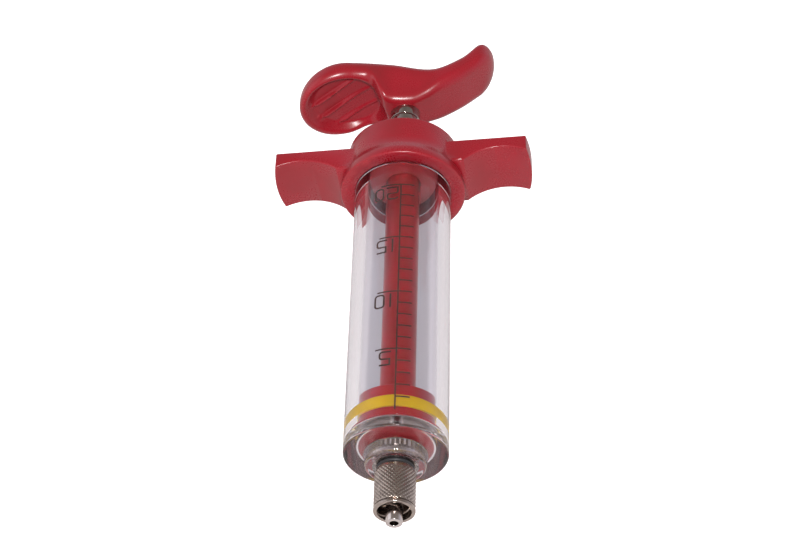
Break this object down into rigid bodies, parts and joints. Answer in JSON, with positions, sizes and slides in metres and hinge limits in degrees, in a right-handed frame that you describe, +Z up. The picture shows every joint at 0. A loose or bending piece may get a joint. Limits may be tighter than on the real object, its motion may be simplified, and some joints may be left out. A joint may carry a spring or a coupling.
{
  "type": "reusable syringe",
  "caption": "Refillable hand syringe: clear graduated barrel, screw cap with finger wings, palm handle on a piston rod, and a knurled lock nozzle.",
  "frame": {"origin": "centre of the footprint on the surface that the syringe lies on", "axes": "+Y along the syringe from the nozzle to the handle, as seen from above; +Z up; +X towards the raised finger wing"},
  "size_m": [0.069, 0.1524, 0.0338],
  "materials": {
    "clear_body": "clear moulded plastic with a slight lavender grey tint, polished",
    "red_plastic": "crimson moulded plastic, satin",
    "nickel": "nickel plated, turned and knurled",
    "polished": "bright plated",
    "steel": "drawn steel",
    "brass": "turned brass",
    "yellow_seal": "yellow elastic seal, smooth",
    "dark_seal": "black rubber",
    "clear_seal": "pale translucent seal"
  },
  "bodies": {
    "barrel": {"barrel": "clear_body", "nozzle_insert": "nickel"},
    "nozzle_seat": {"nozzle_seal": "dark_seal"},
    "nozzle": {"luer_cone": "nickel", "lock_collar": "nickel"},
    "cap_seat": {"guide_bush": "red_plastic", "cap_gasket": "clear_seal"},
    "cap": {"grip_cap": "red_plastic"},
    "plunger": {"plunger_stem": "red_plastic", "piston_ring": "yellow_seal", "front_plate": "red_plastic", "plate_insert": "brass", "thrust_washer": "steel"},
    "handle": {"spindle": "steel", "ferrule": "polished", "handle_nut": "brass", "handle": "red_plastic"}
  },
  "joints": [
    {"name": "plunger_slide", "type": "slide", "parent": "barrel", "child": "plunger", "axis": [0, 0.999, 0.0458], "range_m": [0, 0.07225]},
    {"name": "handle_turn", "type": "hinge", "parent": "plunger", "child": "handle", "pos_m": [0, 0.05656, 0.01793], "axis": [0, 0.999, 0.0458], "continuous": true},
    {"name": "cap_lift", "type": "slide", "parent": "barrel", "child": "cap_seat", "axis": [0, 0.999, 0.0458], "range_m": [0, 0.0076]},
    {"name": "cap_turn", "type": "hinge", "parent": "cap_seat", "child": "cap", "pos_m": [0, 0.04127, 0.01723], "axis": [0, 0.999, 0.0458], "range_deg": [0, 1080]},
    {"name": "nozzle_draw", "type": "slide", "parent": "barrel", "child": "nozzle_seat", "axis": [0, -0.999, -0.0458], "range_m": [0, 0.004]},
    {"name": "nozzle_turn", "type": "hinge", "parent": "nozzle_seat", "child": "nozzle", "pos_m": [0, -0.06142, 0.01252], "axis": [0, -0.999, -0.0458], "range_deg": [0, 1445]}
  ],
  "couplings": [
    {"joint": "cap_lift", "follows": "cap_turn", "m_per_rad": 0.00039789},
    {"joint": "nozzle_turn", "follows": "nozzle_draw", "rad_per_m": 6283.2}
  ]
}
